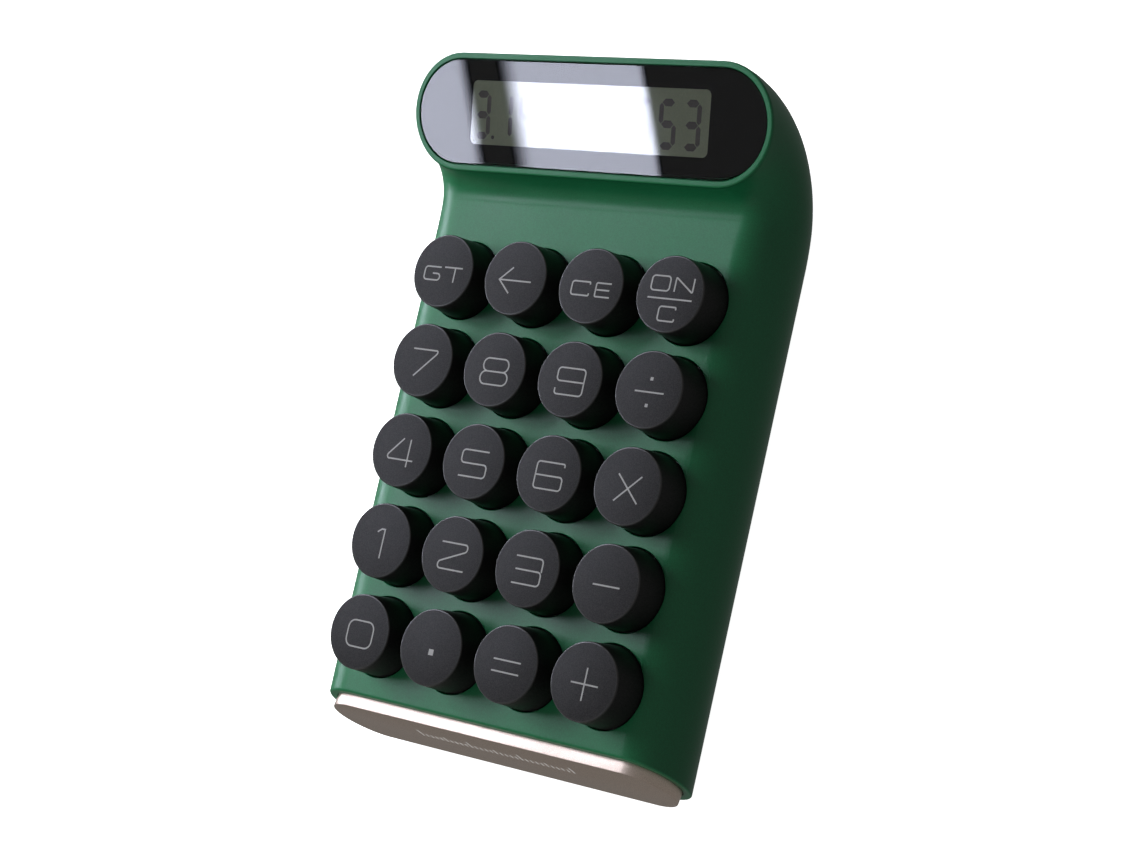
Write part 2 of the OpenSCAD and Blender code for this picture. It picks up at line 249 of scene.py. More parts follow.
def grain_group():
    """Fine moulded grain with slow unevenness: a height for bumps, and masks for colour and gloss."""
    group = bpy.data.node_groups.new("moulded_grain", "ShaderNodeTree")
    for name, default in (("Grain Size", 0.25 * MM), ("Patch Size", 12 * MM)):
        socket = group.interface.new_socket(name, in_out="INPUT", socket_type="NodeSocketFloat")
        socket.default_value = default
    for name in ("Height", "Speckle", "Patches"):
        group.interface.new_socket(name, in_out="OUTPUT", socket_type="NodeSocketFloat")
    nodes, links = group.nodes, group.links
    inputs = nodes.new("NodeGroupInput")
    outputs = nodes.new("NodeGroupOutput")
    coords = nodes.new("ShaderNodeTexCoord")

    def noise(size_socket, detail, roughness):
        scale = nodes.new("ShaderNodeMath")
        scale.operation = "DIVIDE"
        scale.inputs[0].default_value = 1
        links.new(inputs.outputs[size_socket], scale.inputs[1])
        texture = nodes.new("ShaderNodeTexNoise")
        texture.inputs["Detail"].default_value = detail
        texture.inputs["Roughness"].default_value = roughness
        links.new(coords.outputs["Object"], texture.inputs["Vector"])
        links.new(scale.outputs[0], texture.inputs["Scale"])
        return texture.outputs[0]

    fine = noise("Grain Size", 2.0, 0.6)
    slow = noise("Patch Size", 3.0, 0.5)
    speckle = nodes.new("ShaderNodeMapRange")
    speckle.inputs["From Min"].default_value = 0.38
    speckle.inputs["From Max"].default_value = 0.62
    links.new(fine, speckle.inputs["Value"])
    links.new(fine, outputs.inputs["Height"])
    links.new(speckle.outputs[0], outputs.inputs["Speckle"])
    links.new(slow, outputs.inputs["Patches"])
    return group


moulded_grain = grain_group()


def grained(name, colour, speck_colour, roughness, grain=0.25 * MM, bump=0.004 * MM, patchy=0.06,
            metallic=0.0, specular=0.5, coat=0.0, coat_roughness=0.3):
    """A material with the grain: specks in the colour, patches in the gloss, and a fine bump."""
    material = bpy.data.materials.new(name)
    material.use_nodes = True
    nodes, links = material.node_tree.nodes, material.node_tree.links
    shader = nodes["Principled BSDF"]
    shader.inputs["Metallic"].default_value = metallic
    shader.inputs["Specular IOR Level"].default_value = specular
    shader.inputs["Coat Weight"].default_value = coat
    shader.inputs["Coat Roughness"].default_value = coat_roughness
    marks = nodes.new("ShaderNodeGroup")
    marks.node_tree = moulded_grain
    marks.inputs["Grain Size"].default_value = grain
    tint = nodes.new("ShaderNodeMix")
    tint.data_type = "RGBA"
    tint.inputs["A"].default_value = (*colour, 1)
    tint.inputs["B"].default_value = (*speck_colour, 1)
    gloss = nodes.new("ShaderNodeMapRange")
    gloss.inputs["To Min"].default_value = roughness - patchy
    gloss.inputs["To Max"].default_value = roughness + patchy
    relief = nodes.new("ShaderNodeBump")
    relief.inputs["Strength"].default_value = 1.0
    relief.inputs["Distance"].default_value = bump
    links.new(marks.outputs["Speckle"], tint.inputs["Factor"])
    links.new(tint.outputs["Result"], shader.inputs["Base Color"])
    links.new(marks.outputs["Patches"], gloss.inputs["Value"])
    links.new(gloss.outputs[0], shader.inputs["Roughness"])
    links.new(marks.outputs["Height"], relief.inputs["Height"])
    links.new(relief.outputs[0], shader.inputs["Normal"])
    return material


green = grained("satin_green", (0.006, 0.093, 0.034), (0.008, 0.120, 0.046), 0.37, grain=0.2 * MM,
                bump=0.014 * MM, specular=0.42)

bend = [bend_station(k / BEND_STEPS) for k in range(BEND_STEPS + 1)]
front_station = tube_station(front_y, math.tan(FRONT_TILT))
flats = [tube_station(front_y + (outer_start - front_y) * k / TUBE_STEPS,
                      math.tan(FRONT_TILT) * (1 - k / TUBE_STEPS)) for k in range(1, TUBE_STEPS)]
forward, upward = Vector((0, -1, 0)), Vector((0, 0, 1))
front_mouth = rounded_mouth(front_station, front_out, PLATE_RIM, forward, forward)
display_mouth = rounded_mouth(bend[-1], face_out, LENS_RIM, face_out, upward)
outside = [ring(s) for s in flats + bend[:-1]]
inside = [ring(s, WALL) for s in bend[-4::-4]] + [ring(s, WALL) for s in reversed(flats)]
display_seat = [ring(bend[-1], inset, -face_out * LENS_SEAT) for inset in (LENS_RIM, WALL)]
front_seat = [ring(front_station, inset, -front_out * PLATE_SEAT) for inset in (WALL, PLATE_RIM)]
shell_rings = outside + display_mouth + display_seat + inside + front_seat + front_mouth[::-1]
shell = as_object("shell_body", loft(shell_rings + [outside[0]], closed=True))

# the key holes have a small rounded lip
hole_radius = cap_base_radius + HOLE_GAP
lip_arc = arc((hole_radius + HOLE_EDGE, -HOLE_EDGE), HOLE_EDGE, 180, 90, 5)
hole_profile = [(0, -HOLE_DEPTH), (hole_radius, -HOLE_DEPTH)]
hole_profile += lip_arc + [(hole_radius + HOLE_EDGE, MM), (0, MM)]
holes = bmesh.new()
for key in KEYS:
    spin_profile(hole_profile, key_places[key], 72, holes)
carve(shell, holes)

# the back is open where the cover drops in, with a ledge that the cover rests on
COVER_LEDGE = 2.2 * MM
COVER_RADIUS = 4.0 * MM
COVER_GAP = 0.1 * MM
COVER_T = 1.4 * MM
HATCH_REACH = 3.0 * MM
cover_low, cover_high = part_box("back_cover")
cover_half = Vector(((cover_high.x - cover_low.x) / 2, (cover_high.y - cover_low.y) / 2))
cover_mid = Vector(((cover_low.x + cover_high.x) / 2, (cover_low.y + cover_high.y) / 2, back_z))


def outline(half, radius, steps=12):
    """A rectangle with round corners as points anticlockwise; a radius equal to half.y gives a stadium."""
    points = []
    for quarter, (sx, sy) in enumerate(((1, 1), (-1, 1), (-1, -1), (1, -1))):
        corner = (sx * (half[0] - radius), sy * (half[1] - radius))
        points += arc(corner, radius, 90 * quarter, 90 * quarter + 90, steps)
    return points


def slab(points, low, high, edge=0.0, segments=2, place=Matrix(), bm=None):
    """A plate of the given outline from low to high, with its top edge rounded, set in place."""
    plate = bmesh.new()
    face = plate.faces.new([plate.verts.new((x, y, low)) for x, y in points])
    bmesh.ops.remove_doubles(plate, verts=plate.verts, dist=1e-7)
    grown = bmesh.ops.extrude_face_region(plate, geom=plate.faces[:])["geom"]
    top = [g for g in grown if isinstance(g, bmesh.types.BMVert)]
    bmesh.ops.translate(plate, verts=top, vec=(0, 0, high - low))
    bmesh.ops.recalc_face_normals(plate, faces=plate.faces)
    if edge > 0:
        rim = [e for e in plate.edges if e.verts[0] in top and e.verts[1] in top]
        bmesh.ops.bevel(plate, geom=rim, offset=edge, offset_type="OFFSET", segments=segments,
                        profile=0.5, affect="EDGES", clamp_overlap=True, material=-1)
    plate.transform(place)
    return plate if bm is None else add_part(bm, plate)


recess = outline(cover_half + Vector((COVER_GAP, COVER_GAP)), COVER_RADIUS)
opening = outline(cover_half - Vector((COVER_LEDGE, COVER_LEDGE)), COVER_RADIUS - MM)
carve(shell, slab(recess, -MM, COVER_T, place=Matrix.Translation(cover_mid)))
carve(shell, slab(opening, -MM, HATCH_REACH, place=Matrix.Translation(cover_mid)))
finish_piece(shell, "housing", green, sharp=40, weighted=True)
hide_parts("main_shell")


# ---- Back cover and battery door ----
# A flat moulded cover closes the hatch in the back and is held by four screws. A small door in
# its middle, held by one more screw, gives access to the cell.
def softened(node, name, width, body, material, crease=35, segments=2):
    """A copy of a plain piece with its edges broken, in the place of the plain one."""
    bm = bmesh.new()
    bm.from_mesh(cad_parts[node].data)
    bmesh.ops.remove_doubles(bm, verts=bm.verts, dist=1e-6)
    bmesh.ops.dissolve_limit(bm, angle_limit=math.radians(0.6), verts=bm.verts, edges=bm.edges)
    edges = [e for e in bm.edges if len(e.link_faces) == 2
             and e.calc_face_angle(0) > math.radians(crease)]
    bmesh.ops.bevel(bm, geom=edges, offset=width, offset_type="OFFSET", segments=segments,
                    profile=0.5, affect="EDGES", clamp_overlap=True, material=-1)
    piece = as_object(name, bm)
    finish_piece(piece, body, material, sharp=crease, weighted=True)
    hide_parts(node)
    return piece


softened("back_cover", "cover_panel", 0.2 * MM, "housing", green)
softened("battery_door", "cell_door", 0.2 * MM, "housing", green)


# ---- Screws and feet ----
# Four steel screws pull the back cover up to the bosses under the deck and a fifth holds the
# battery door. Four rubber feet are glued into shallow round seats.
screw_steel = grained("zinc_plated_steel", (0.42, 0.42, 0.43), (0.5, 0.5, 0.5), 0.32, grain=0.1 * MM,
                      bump=0.001 * MM, metallic=1.0)
rubber = grained("soft_rubber", (0.018, 0.018, 0.018), (0.03, 0.03, 0.03), 0.75, grain=0.15 * MM,
                 bump=0.01 * MM, specular=0.3)
softened("cover_screws", "cover_fasteners", 0.08 * MM, "housing", screw_steel)
softened("door_screw", "door_fastener", 0.08 * MM, "housing", screw_steel)
softened("feet", "rubber_feet", 0.3 * MM, "housing", rubber)


# ---- Front plate ----
# A thick aluminium plate closes the cut front end. It is bead-blasted to a fine warm satin, its
# edge is softly broken, and a row of fine ticks is printed on it. A black tray holds it inside.
PLATE_OUT = 2.4 * MM
PLATE_IN = 0.95 * MM
PLATE_RING = 1.9 * MM
PLATE_EDGE = 0.22 * MM
on_front = Matrix.Translation(front_mid) @ Matrix((
    (1, 0, 0, 0),
    (0, math.sin(FRONT_TILT), -math.cos(FRONT_TILT), 0),
    (0, math.cos(FRONT_TILT), math.sin(FRONT_TILT), 0),
    (0, 0, 0, 1)))
blasted = grained("blasted_aluminium", (0.64, 0.52, 0.43), (0.84, 0.70, 0.59), 0.42, grain=0.14 * MM,
                  bump=0.012 * MM, metallic=1.0, patchy=0.04)
plate_half = Vector((half_width - PLATE_RING, body_thick / 2 / math.cos(FRONT_TILT) - PLATE_RING))
plate_points = outline(plate_half, plate_half.y, 32)
plate = as_object("front_panel", slab(plate_points, -PLATE_IN, PLATE_OUT, PLATE_EDGE, 2, on_front))
finish_piece(plate, "housing", blasted, sharp=30)
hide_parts("end_plate")

ink = grained("light_ink", (0.86, 0.83, 0.80), (0.92, 0.89, 0.86), 0.5, grain=0.1 * MM, bump=0.0)
TICKS = 31
TICK_PITCH = 1.3 * MM
TICK_HALF_WIDTH = 0.17 * MM
TICK_HALF_TALL = (0.7 * MM, 1.1 * MM, 1.5 * MM)
ticks = bmesh.new()
for k in range(TICKS):
    tall = TICK_HALF_TALL[(k % 5 == 0) + (k % 10 == 0)]
    spot = Matrix.Translation(((k - (TICKS - 1) / 2) * TICK_PITCH, tall, 0))
    slab(outline(Vector((TICK_HALF_WIDTH, tall)), TICK_HALF_WIDTH / 2, 2), PLATE_OUT - 0.02 * MM,
         PLATE_OUT + 0.01 * MM, place=on_front @ spot, bm=ticks)
finish_piece(as_object("tick_print", ticks), "housing", ink)

black_plastic = grained("black_plastic", (0.016, 0.016, 0.017), (0.022, 0.022, 0.023), 0.5,
                        bump=0.003 * MM)


def paint(node, material):
    """Gives a piece that keeps its plain shape its finish."""
    node_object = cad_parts[node]
    node_object.data.materials.clear()
    node_object.data.materials.append(material)


paint("end_tray", black_plastic)


# ---- Display ----
# A flat pane of clear acrylic with a polished chamfer drops into the head. Black ink on its back
# leaves a window over the liquid crystal cell, which a frame holds from behind.
LENS_T = 1.2 * MM
MASK_T = 0.1 * MM
LENS_GAP = 0.1 * MM
LENS_EDGE = 0.25 * MM
RIM_END = 1.4 * MM
INK_SINK = 0.01 * MM
on_display = Matrix.Translation(face_mid) @ Matrix((
    (1, 0, 0, 0),
    (0, face_along.y, face_out.y, 0),
    (0, face_along.z, face_out.z, 0),
    (0, 0, 0, 1)))


def clear_pane(name, colour, ior, roughness):
    """Clear plastic or glass with faint polishing haze."""
    material = bpy.data.materials.new(name)
    material.use_nodes = True
    nodes, links = material.node_tree.nodes, material.node_tree.links
    shader = nodes["Principled BSDF"]
    shader.inputs["Base Color"].default_value = (*colour, 1)
    shader.inputs["IOR"].default_value = ior
    shader.inputs["Transmission Weight"].default_value = 1.0
    marks = nodes.new("ShaderNodeGroup")
    marks.node_tree = moulded_grain
    marks.inputs["Patch Size"].default_value = 20 * MM
    haze = nodes.new("ShaderNodeMapRange")
    haze.inputs["To Min"].default_value = 0.0
    haze.inputs["To Max"].default_value = roughness
    links.new(marks.outputs["Patches"], haze.inputs["Value"])
    links.new(haze.outputs[0], shader.inputs["Roughness"])
    return material


acrylic = clear_pane("clear_acrylic", (1, 1, 1), 1.49, 0.02)
lens_half = Vector((half_width - RIM_END - LENS_GAP, HEAD_HEIGHT / 2 - LENS_RIM - LENS_GAP))
lens_points = outline(lens_half, lens_half.y, 32)
lens = as_object("display_pane", slab(lens_points, -LENS_T - INK_SINK, 0, LENS_EDGE, 1, on_display))
finish_piece(lens, "housing", acrylic, sharp=25)
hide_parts("display_lens")

mask_black = grained("mask_ink", (0.006, 0.006, 0.006), (0.008, 0.008, 0.008), 0.7, bump=0.0,
                     specular=0.0)
lcd_grey = grained("lcd_polariser", (0.215, 0.245, 0.155), (0.245, 0.275, 0.175), 0.03, bump=0.0,
                   patchy=0.01)
polyimide = grained("polyimide_flex", (0.30, 0.13, 0.02), (0.36, 0.16, 0.03), 0.3)
paint("display_mask", mask_black)
paint("lcd_frame", black_plastic)
paint("lcd_panel", lcd_grey)
paint("lcd_flex", polyimide)

# seven-segment numerals, slightly darker than the cell behind them
DIGITS = "3141592653"
SEGMENTS = {"0": "abcdef", "1": "bc", "2": "abged", "3": "abgcd", "4": "fgbc", "5": "afgcd",
            "6": "afgedc", "7": "abc", "8": "abcdefg", "9": "abcdfg"}
DIGIT_PITCH = 5.84 * MM
DIGIT_LEFT = -29.0 * MM
DIGIT_TOP = 4.52 * MM
DIGIT_TALL = 10.0 * MM
DIGIT_WIDE = 4.2 * MM
BAR_ACROSS = 1.5 * MM
BAR_DOWN = 1.04 * MM
BAR_SLIT = 0.1 * MM
POINT_RADIUS = 0.4 * MM
POINT_RIGHT = 0.9 * MM
POINT_UP = 0.48 * MM
INK_LOW = -(LENS_T + MASK_T) - INK_SINK
INK_HIGH = INK_LOW + 0.03 * MM


def segment(letter):
    """One bar of a numeral as a pointed outline, in the numeral's own box."""
    left, right = BAR_DOWN / 2, DIGIT_WIDE - BAR_DOWN / 2
    levels = (BAR_ACROSS / 2, DIGIT_TALL / 2, DIGIT_TALL - BAR_ACROSS / 2)
    if letter in "dga":
        y, h = levels["dga".index(letter)], BAR_ACROSS / 2
        x0, x1 = left + BAR_SLIT, right - BAR_SLIT
        return [(x0, y), (x0 + h, y - h), (x1 - h, y - h), (x1, y), (x1 - h, y + h), (x0 + h, y + h)]
    x, h = (right if letter in "bc" else left), BAR_DOWN / 2
    low = 1 if letter in "bf" else 0
    y0, y1 = levels[low] + BAR_SLIT, levels[low + 1] - BAR_SLIT
    return [(x, y0), (x + h, y0 + h), (x + h, y1 - h), (x, y1), (x - h, y1 - h), (x - h, y0 + h)]


numerals = bmesh.new()
for place, digit in enumerate(DIGITS):
    corner = Vector((DIGIT_LEFT + place * DIGIT_PITCH, DIGIT_TOP - DIGIT_TALL, 0))
    for letter in SEGMENTS[digit]:
        place_digit = on_display @ Matrix.Translation(corner)
        slab(segment(letter), INK_LOW, INK_HIGH, place=place_digit, bm=numerals)
dot_centre = (DIGIT_LEFT + DIGIT_WIDE + POINT_RIGHT, DIGIT_TOP - DIGIT_TALL + POINT_UP)
slab(arc(dot_centre, POINT_RADIUS, 0, 345, 23), INK_LOW, INK_HIGH, place=on_display, bm=numerals)
lcd_dark = grained("lcd_segment", (0.065, 0.056, 0.050), (0.075, 0.064, 0.058), 0.03, bump=0.0,
                   patchy=0.01)
finish_piece(as_object("lcd_numerals", numerals), "housing", lcd_dark)


# ---- Key caps ----
# Twenty round caps of fine-grained black plastic with a slightly tapered skirt and a smoother
# top edge, which is lighter in colour as a painted highlight. Each is pushed onto its switch stem
# by a boss under its top, and moves with it.
CAP_EDGE = 0.3 * MM
CAP_WALL = 1.3 * MM
CAP_TOP_T = 1.6 * MM
CAP_TAPER = 0.43 * MM
POST_RADIUS = 2.02 * MM
BOSS_WALL = 0.78 * MM
BOSS_LOW = 0.95 * MM
cap_height = cap_high.z - deck_z
cap_radius = cap_base_radius - CAP_TAPER
under = cap_height - CAP_TOP_T
cap_profile = [(0, cap_height)]
cap_profile += arc((cap_radius - CAP_EDGE, cap_height - CAP_EDGE), CAP_EDGE, 90, 0, 5)
cap_profile += [(cap_base_radius, 0), (cap_base_radius, -CAP_SKIRT + 0.1 * MM),
                (cap_base_radius - 0.1 * MM, -CAP_SKIRT), (cap_base_radius - CAP_WALL, -CAP_SKIRT),
                (cap_radius - CAP_WALL, under), (POST_RADIUS + BOSS_WALL, under),
                (POST_RADIUS + BOSS_WALL, BOSS_LOW), (POST_RADIUS, BOSS_LOW),
                (POST_RADIUS, under - 0.5 * MM), (0, under - 0.5 * MM)]
key_black = grained("key_black", (0.005, 0.005, 0.005), (0.019, 0.018, 0.018), 0.44, grain=0.2 * MM,
                    bump=0.012 * MM, specular=0.19)
stem_brown = grained("stem_nylon", (0.22, 0.07, 0.02), (0.26, 0.09, 0.03), 0.4)
# The edge material is smoother, and its lighter colour is a painted highlight along the cap's top edge.
painted_edge_highlight = grained("painted_edge_highlight", (0.026, 0.026, 0.026), (0.032, 0.032, 0.032), 0.24, grain=0.16 * MM,
                   bump=0.002 * MM, specular=0.55)
for key in KEYS:
    cap = as_object("key_cap_" + key, spin_profile(cap_profile, key_places[key], 64))
    finish_piece(cap, "key_" + key, key_black, sharp=35)
    cap.data.materials.append(painted_edge_highlight)
    # Faces on the rounded top edge take the painted highlight material.
    for face in cap.data.polygons:
        on_highlight_edge = face.center.z > deck_z + cap_height - CAP_EDGE
        face.material_index = 1 if on_highlight_edge and face.normal.z < 0.999 else 0
    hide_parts("cap_" + key)
    paint("stem_" + key, stem_brown)


# ---- Legends ----
# Thin grey characters printed on the key tops: strokes of even width, square at their ends and
# rounded at their corners. A key's strokes lie a hair above one another where they cross. The
# legend sizes are in millimetres from each legend's own middle.
STROKE_HALF = 0.155
PRINT_T = 0.012 * MM
PRINT_STEP = 0.002 * MM
WIDE = 3.35
TALL = 2.7
CORNER_STEPS = 6
MIDDLE = (0.30, -0.48)
OFF_MIDDLE = {"point": (0.37, -0.92), "gt": (0.07, -0.70), "back": (0.30, -0.55), "ce": (0.26, -0.66),
              "on": (0.18, -1.00)}


def rounded_path(points, radius, closed):
    """The points of a path in millimetres, with each corner drawn as an arc."""
    count = len(points)
    path = []
    for k in range(count):
        here = Vector(points[k])
        if not closed and k in (0, count - 1):
            path.append(here)
            continue
        back, ahead = Vector(points[k - 1]) - here, Vector(points[(k + 1) % count]) - here
        turn = math.pi - back.angle(ahead)
        reach = min(radius * math.tan(turn / 2), back.length / 2.02, ahead.length / 2.02)
        if reach < 0.02:
            path.append(here)
            continue
        start, end = here + back.normalized() * reach, here + ahead.normalized() * reach
        middle = here + (start + end - 2 * here).normalized() * reach / math.sin(turn / 2)
        sense = math.copysign(turn, back.x * ahead.y - back.y * ahead.x)
        spoke = start - middle
        for step in range(CORNER_STEPS + 1):
            swing = -sense * step / CORNER_STEPS
            path.append(middle + Vector((spoke.x * math.cos(swing) - spoke.y * math.sin(swing),
                                         spoke.x * math.sin(swing) + spoke.y * math.cos(swing))))
    return path


def stroke(points, radius=0.0, closed=False, half=STROKE_HALF):
    """One stroke: its points, the radius of its corners, whether it closes, and its half width."""
    return points, radius, closed, half


def bar(x0, y0, x1, y1):
    """A straight stroke."""
    return stroke([(x0, y0), (x1, y1)])


def box_stroke(left, low, right, high, radius):
    """A closed round-cornered box."""
    return stroke([(left, low), (right, low), (right, high), (left, high)], radius, closed=True)


def square_dot(x, y, half):
    """A square dot: a bar as wide as it is long."""
    return stroke([(x - half, y), (x + half, y)], half=half)


LEGENDS = {
    "0": [box_stroke(-WIDE, -TALL, WIDE, TALL, 1.6)],
    "1": [stroke([(-1.5, 2.1), (-0.5, 2.8), (0.35, 2.8), (0.35, -3.2)])],
    "2": [stroke([(-WIDE, TALL), (WIDE, TALL), (WIDE, 1.35), (-WIDE, -1.35), (-WIDE, -TALL),
                  (WIDE, -TALL)], 0.8)],
    "3": [stroke([(-WIDE, TALL), (WIDE, TALL), (WIDE, 0.1)], 0.8),
          stroke([(-3.0, 0.1), (WIDE, 0.1), (WIDE, -TALL), (-WIDE, -TALL)], 0.8)],
    "4": [stroke([(-0.07, 2.9), (-3.66, -0.84), (-3.5, -1.57), (3.2, -1.57)], 0.5),
          bar(1.76, 2.82, 1.76, -2.97)],
    "5": [stroke([(WIDE, TALL), (-WIDE, TALL), (-WIDE, 0), (WIDE, 0), (WIDE, -TALL), (-WIDE, -TALL)], 0.8)],
    "6": [stroke([(WIDE, 2.0), (WIDE, TALL), (-WIDE, TALL), (-WIDE, -TALL), (WIDE, -TALL), (WIDE, 0),
                  (-WIDE, 0)], 0.7)],
    "7": [stroke([(-3.15, TALL), (WIDE, TALL), (WIDE, 2.1), (-1.8, -3.0)], 0.7)],
    "8": [box_stroke(-3.2, 0, 3.2, TALL, 1.3), box_stroke(-3.45, -TALL, 3.45, 0, 1.3)],
    "9": [stroke([(-WIDE, -1.5), (-WIDE, -TALL), (WIDE, -TALL), (WIDE, TALL), (-WIDE, TALL), (-WIDE, 0),
                  (WIDE, 0)], 0.8)],
    "divide": [bar(-3.4, 0, 3.4, 0), square_dot(0, 2.64, 0.33), square_dot(0, -2.64, 0.33)],
    "multiply": [bar(-2.75, -2.67, 2.75, 2.67), bar(-2.75, 2.67, 2.75, -2.67)],
    "minus": [bar(-3.15, 0, 3.15, 0)],
    "plus": [bar(-3.2, 0, 3.2, 0), bar(0, -3.2, 0, 3.2)],
    "equals": [bar(-3.37, 1.17, 3.37, 1.17), bar(-3.37, -1.17, 3.37, -1.17)],
    "point": [square_dot(0, 0, 0.6)],
    "gt": [stroke([(-0.62, 1.4), (-4.8, 1.4), (-4.8, -1.4), (-0.62, -1.4), (-0.62, 0), (-2.6, 0)], 0.7),
           bar(0.3, 1.5, 5.0, 1.5), bar(3.15, 1.5, 3.15, -1.6)],
    "back": [bar(-4.2, 0, 3.9, 0), stroke([(-1.2, 2.7), (-4.2, 0), (-1.2, -2.7)])],
    "ce": [stroke([(-0.37, 0.9), (-0.37, 1.4), (-4.76, 1.4), (-4.76, -1.4), (-0.37, -1.4),
                   (-0.37, -0.9)], 0.6),
           stroke([(4.76, 1.4), (1.17, 1.4), (1.17, -1.4), (4.76, -1.4)], 0.3),
           bar(1.4, 0, 4.5, 0)],
    "on": [box_stroke(-4.87, 1.5, -0.55, 4.43, 0.7),
           stroke([(0.7, 1.5), (0.7, 4.4), (4.95, 1.5), (4.95, 4.4)], 0.15),
           bar(-5.13, 0, 5.2, 0),
           stroke([(2.0, -2.1), (2.0, -1.57), (-1.87, -1.57), (-1.87, -4.43), (2.0, -4.43), (2.0, -3.9)],
                  0.6)],
}


def ribbon(path, half, closed, low, high, centre, bm):
    """A flat band of even width along a path, built edge by edge and given its thickness."""
    count = len(path)
    pairs = []
    for k in range(count):
        here = path[k]
        ahead = (path[(k + 1) % count] - here) if closed or k < count - 1 else (here - path[k - 1])
        back = (here - path[k - 1]) if closed or k > 0 else ahead
        along = (ahead.normalized() + back.normalized()).normalized()
        across = Vector((-along.y, along.x)) * half / max(0.35, along.dot(ahead.normalized()))
        pairs.append((here - across, here + across))
    band = bmesh.new()
    ends = [band.verts.new((*p, low)) for p in pairs[0]]
    rung = band.edges.new(ends)
    for pair in pairs[1:] + (pairs[:1] if closed else []):
        grown = bmesh.ops.extrude_edge_only(band, edges=[rung])["geom"]
        new_verts = {g for g in grown if isinstance(g, bmesh.types.BMVert)}
        new_ends = [next(e.other_vert(v) for e in v.link_edges if e.other_vert(v) in new_verts)
                    for v in ends]
        rung = band.edges.get(new_ends)
        for vert, point in zip(new_ends, pair):
            vert.co = (*point, low)
        ends = new_ends
    bmesh.ops.remove_doubles(band, verts=band.verts, dist=1e-8)
    grown = bmesh.ops.extrude_face_region(band, geom=band.faces[:])["geom"]
    top = [g for g in grown if isinstance(g, bmesh.types.BMVert)]
    bmesh.ops.translate(band, verts=top, vec=(0, 0, high - low))
    band.transform(Matrix.Translation(centre))
    add_part(bm, band)


legend_grey = grained("legend_ink", (0.21, 0.21, 0.21), (0.26, 0.26, 0.26), 0.5, grain=0.1 * MM,
                      bump=0.0)
for key in KEYS:
    shift_x, shift_y = OFF_MIDDLE.get(key, MIDDLE)
    centre = key_places[key] + Vector((shift_x * MM, shift_y * MM, cap_height))
    print_mesh = bmesh.new()
    for layer, (points, radius, closed, half) in enumerate(LEGENDS[key]):
        path = [p * MM for p in rounded_path(points, radius, closed)]
        ribbon(path, half * MM, closed, -PRINT_T, PRINT_T + layer * PRINT_STEP, centre, print_mesh)
    finish_piece(as_object("legend_" + key, print_mesh), "key_" + key, legend_grey)


# ---- Switch springs ----
# One steel coil spring under each stem, between the stem's flange and the switch floor. It is
# shown at its rest length.
SPRING_TURNS = 6
SPRING_RADIUS = 2.6 * MM
WIRE_RADIUS = 0.18 * MM
TURN_STEPS = 20
spring_low, spring_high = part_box("switch_springs")
spring_floor = spring_low.z + WIRE_RADIUS
spring_length = spring_high.z - spring_low.z - 2 * WIRE_RADIUS
spring_steel = grained("spring_steel", (0.50, 0.49, 0.47), (0.56, 0.55, 0.53), 0.25, grain=0.1 * MM,
                       bump=0.0, metallic=1.0)
for key in KEYS:
    coil = bmesh.new()
    foot = Vector((key_places[key].x, key_places[key].y, spring_floor))
    wire_start = Matrix.Translation(foot + Vector((SPRING_RADIUS, 0, 0)))
    ring_place = wire_start @ Matrix.Rotation(math.pi / 2, 4, "X")
    bmesh.ops.create_circle(coil, cap_ends=False, radius=WIRE_RADIUS, segments=6, matrix=ring_place)
    steps = SPRING_TURNS * TURN_STEPS
    bmesh.ops.spin(coil, geom=coil.verts[:] + coil.edges[:], cent=foot, axis=(0, 0, 1),
                   dvec=(0, 0, spring_length / steps), angle=2 * math.pi * SPRING_TURNS, steps=steps)
    bmesh.ops.holes_fill(coil, edges=[e for e in coil.edges if e.is_boundary])
    spring = finish_piece(as_object("spring_" + key, coil), "housing", spring_steel)
    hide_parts("switch_springs")
    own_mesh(spring)


# ---- Keyboard and electronics ----
# The switches snap into a steel plate and are soldered to a fibreglass board, which also carries
# the controller and the contacts of the coin cell.
TRACK_PITCH = 6 * MM


def board_material():
    """Green solder mask over copper tracks that run across the board."""
    material = grained("solder_mask", (0.010, 0.085, 0.030), (0.014, 0.11, 0.04), 0.3, bump=0.001 * MM)
    nodes, links = material.node_tree.nodes, material.node_tree.links
    shader = nodes["Principled BSDF"]
    coords = nodes.new("ShaderNodeTexCoord")
    tracks = nodes.new("ShaderNodeTexBrick")
    tracks.inputs["Scale"].default_value = 1 / TRACK_PITCH
    tracks.inputs["Color1"].default_value = (0, 0, 0, 1)
    tracks.inputs["Color2"].default_value = (0, 0, 0, 1)
    tracks.inputs["Mortar"].default_value = (1, 1, 1, 1)
    tracks.inputs["Mortar Size"].default_value = 0.03
    copper = nodes.new("ShaderNodeMix")
    copper.data_type = "RGBA"
    copper.inputs["B"].default_value = (0.04, 0.16, 0.06, 1)
    base = shader.inputs["Base Color"].links[0].from_socket
    links.new(coords.outputs["Object"], tracks.inputs["Vector"])
    links.new(base, copper.inputs["A"])
    links.new(tracks.outputs["Color"], copper.inputs["Factor"])
    links.new(copper.outputs["Result"], shader.inputs["Base Color"])
    return material


sheet_steel = grained("sheet_steel", (0.46, 0.46, 0.47), (0.54, 0.54, 0.54), 0.38, metallic=1.0,
                      bump=0.001 * MM)
brass = grained("contact_brass", (0.72, 0.50, 0.20), (0.78, 0.56, 0.25), 0.3, metallic=1.0,
                bump=0.001 * MM)
cell_steel = grained("cell_steel", (0.60, 0.60, 0.59), (0.66, 0.66, 0.65), 0.28, metallic=1.0,
                     bump=0.001 * MM)
epoxy = grained("chip_epoxy", (0.020, 0.020, 0.021), (0.03, 0.03, 0.03), 0.6, bump=0.006 * MM)
paint("main_board", board_material())
paint("switch_plate", sheet_steel)
paint("switch_housings", black_plastic)
paint("cell_contacts", brass)
softened("controller_chip", "controller_body", 0.15 * MM, "housing", epoxy)
softened("coin_cell", "button_cell", 0.2 * MM, "housing", cell_steel)


